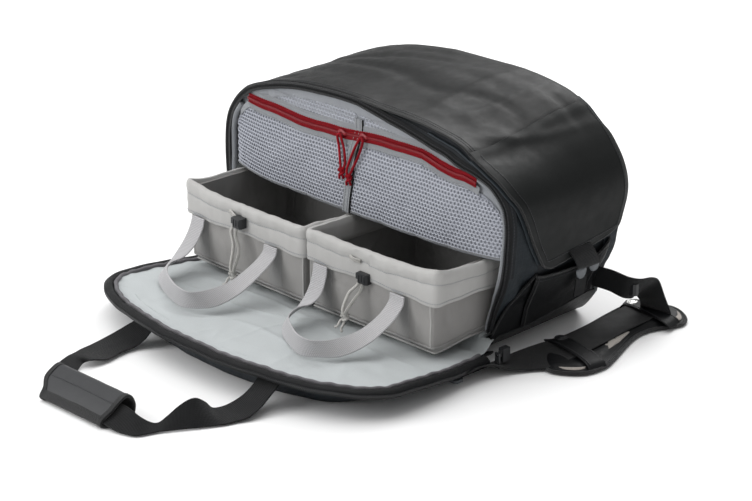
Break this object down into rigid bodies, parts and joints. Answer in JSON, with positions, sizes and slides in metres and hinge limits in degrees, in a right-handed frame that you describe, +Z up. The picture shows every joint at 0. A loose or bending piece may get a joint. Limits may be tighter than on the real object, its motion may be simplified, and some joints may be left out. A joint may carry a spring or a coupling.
{
  "type": "soft-sided gear duffel bag",
  "caption": "Soft-sided gear duffel with a zipped drop-down front door, pull-out totes, mesh organiser, side flap, carry handle and padded shoulder strap.",
  "frame": {"origin": "centre of the base footprint on the ground", "axes": "+Z up, +X along the opening towards the flap end, -Y out of the front door"},
  "size_m": [0.618, 0.7797, 0.303],
  "materials": {
    "coated": "satin coated fabric",
    "slate": "matte ripstop",
    "black": "matte webbing and tape",
    "lining": "brushed lining",
    "greyweb": "ribbed webbing",
    "mesh": "spacer mesh",
    "red": "zip tape and cord",
    "tote": "light coated nylon",
    "plastic": "moulded",
    "cord": "round cord",
    "metal": "satin",
    "board": "stiffener board"
  },
  "bodies": {
    "bag_body": {"base_panel": "black", "floor_pad": "lining", "top_shell": "coated", "lining": "lining", "back_panel": "coated", "right_end_wall": "slate", "gusset_front": "slate", "gusset_back": "coated", "end_pocket": "black", "body_zip_chain": "black", "opening_binding": "greyweb", "divider_shelf": "lining", "mesh_left": "mesh", "mesh_right": "mesh", "mesh_header": "mesh", "seam_tape": "greyweb", "red_zip_left": "red", "red_zip_right": "red", "anchor_front": "black", "anchor_back": "black", "hook_front": "metal", "hook_back": "metal", "catch_loop": "black"},
    "door": {"door_panel": "black", "door_lining": "lining", "door_zip_chain": "black", "door_pocket": "slate"},
    "carry_handle": {"handle_webbing": "black", "handle_wrap": "coated"},
    "side_flap": {"side_flap": "coated", "flap_tab": "black", "flap_hook": "metal"},
    "main_slider": {"main_slider": "plastic"},
    "main_pull": {"main_slider_pull": "plastic"},
    "red_slider_left": {"red_slider_left": "red"},
    "red_pull_left": {"red_pull_left": "red"},
    "red_slider_right": {"red_slider_right": "red"},
    "red_pull_right": {"red_pull_right": "red"},
    "shoulder_strap": {"strap_web_front": "black", "strap_web_back": "black", "shoulder_pad": "black", "pad_keeper_near": "coated", "pad_keeper_far": "coated", "snap_near": "plastic", "snap_far": "metal"},
    "tote_left": {"tote_left_body": "tote", "tote_left_cuff": "tote", "tote_left_board": "board", "tote_left_lock": "plastic"},
    "tote_left_handle": {"tote_left_handle": "greyweb"},
    "tote_left_cord": {"tote_left_cord": "cord"},
    "tote_left_button": {"tote_left_button": "plastic"},
    "tote_right": {"tote_right_body": "tote", "tote_right_cuff": "tote", "tote_right_board": "board", "tote_right_lock": "plastic"},
    "tote_right_handle": {"tote_right_handle": "greyweb"},
    "tote_right_cord": {"tote_right_cord": "cord"},
    "tote_right_button": {"tote_right_button": "plastic"}
  },
  "joints": [
    {"name": "front_door_hinge", "type": "hinge", "parent": "bag_body", "child": "door", "pos_m": [0, -0.1205, 0.009], "axis": [-1, 0, 0], "range_deg": [0, 84.7], "deforming": ["tote_left_handle", "tote_left_cord", "tote_right_handle", "tote_right_cord"]},
    {"name": "carry_handle_swing", "type": "hinge", "parent": "door", "child": "carry_handle", "pos_m": [0, -0.397, 0.0325], "axis": [1, 0, 0], "range_deg": [-10, 105]},
    {"name": "tote_left_slide", "type": "slide", "parent": "bag_body", "child": "tote_left", "axis": [0, 1, 0], "range_m": [0, 0.1151]},
    {"name": "tote_right_slide", "type": "slide", "parent": "bag_body", "child": "tote_right", "axis": [0, 1, 0], "range_m": [0, 0.1021]},
    {"name": "side_flap_hinge", "type": "hinge", "parent": "bag_body", "child": "side_flap", "pos_m": [0.1765, 0, 0.2805], "axis": [0, -1, 0], "range_deg": [0, 100]},
    {"name": "main_zip_slide", "type": "slide", "parent": "bag_body", "child": "main_slider", "axis": [0.11, 0, 0.9939], "range_m": [0, 0.12]},
    {"name": "main_pull_swing", "type": "hinge", "parent": "main_slider", "child": "main_pull", "pos_m": [0.264, -0.1237, 0.0275], "axis": [1, 0, 0], "range_deg": [-80, 0]},
    {"name": "shoulder_strap_swing", "type": "hinge", "parent": "bag_body", "child": "shoulder_strap", "pos_m": [0.262, -0.174, 0.003], "axis": [-0.0957, -0.9775, -0.188], "range_deg": [0, 80]},
    {"name": "red_zip_left_slide", "type": "slide", "parent": "bag_body", "child": "red_slider_left", "axis": [-1, 0, 0], "range_m": [0, 0.19]},
    {"name": "red_pull_left_swing", "type": "hinge", "parent": "red_slider_left", "child": "red_pull_left", "pos_m": [-0.029, -0.1072, 0.237], "axis": [1, 0, 0], "range_deg": [-60, 0]},
    {"name": "red_zip_right_slide", "type": "slide", "parent": "bag_body", "child": "red_slider_right", "axis": [1, 0, 0], "range_m": [0, 0.19]},
    {"name": "red_pull_right_swing", "type": "hinge", "parent": "red_slider_right", "child": "red_pull_right", "pos_m": [0.013, -0.1072, 0.237], "axis": [1, 0, 0], "range_deg": [-60, 0]},
    {"name": "tote_left_handle_swing", "type": "hinge", "parent": "tote_left", "child": "tote_left_handle", "pos_m": [0, -0.2077, 0.1], "axis": [1, 0, 0], "range_deg": [-100, 0]},
    {"name": "tote_left_cord_swing", "type": "hinge", "parent": "tote_left", "child": "tote_left_cord", "pos_m": [-0.1258, -0.2128, 0.1116], "axis": [1, 0, 0], "range_deg": [-60, 0]},
    {"name": "tote_left_button_press", "type": "slide", "parent": "tote_left", "child": "tote_left_button", "axis": [1, 0, 0], "range_m": [0, 0.0035]},
    {"name": "tote_right_handle_swing", "type": "hinge", "parent": "tote_right", "child": "tote_right_handle", "pos_m": [0, -0.1947, 0.1], "axis": [1, 0, 0], "range_deg": [-100, 0]},
    {"name": "tote_right_cord_swing", "type": "hinge", "parent": "tote_right", "child": "tote_right_cord", "pos_m": [0.1042, -0.1998, 0.0966], "axis": [1, 0, 0], "range_deg": [-60, 0]},
    {"name": "tote_right_button_press", "type": "slide", "parent": "tote_right", "child": "tote_right_button", "axis": [1, 0, 0], "range_m": [0, 0.0035]}
  ],
  "couplings": [
    {"joint": "tote_left_slide", "follows": "front_door_hinge", "m_per_rad": 0.077792},
    {"joint": "tote_right_slide", "follows": "front_door_hinge", "m_per_rad": 0.068998}
  ]
}
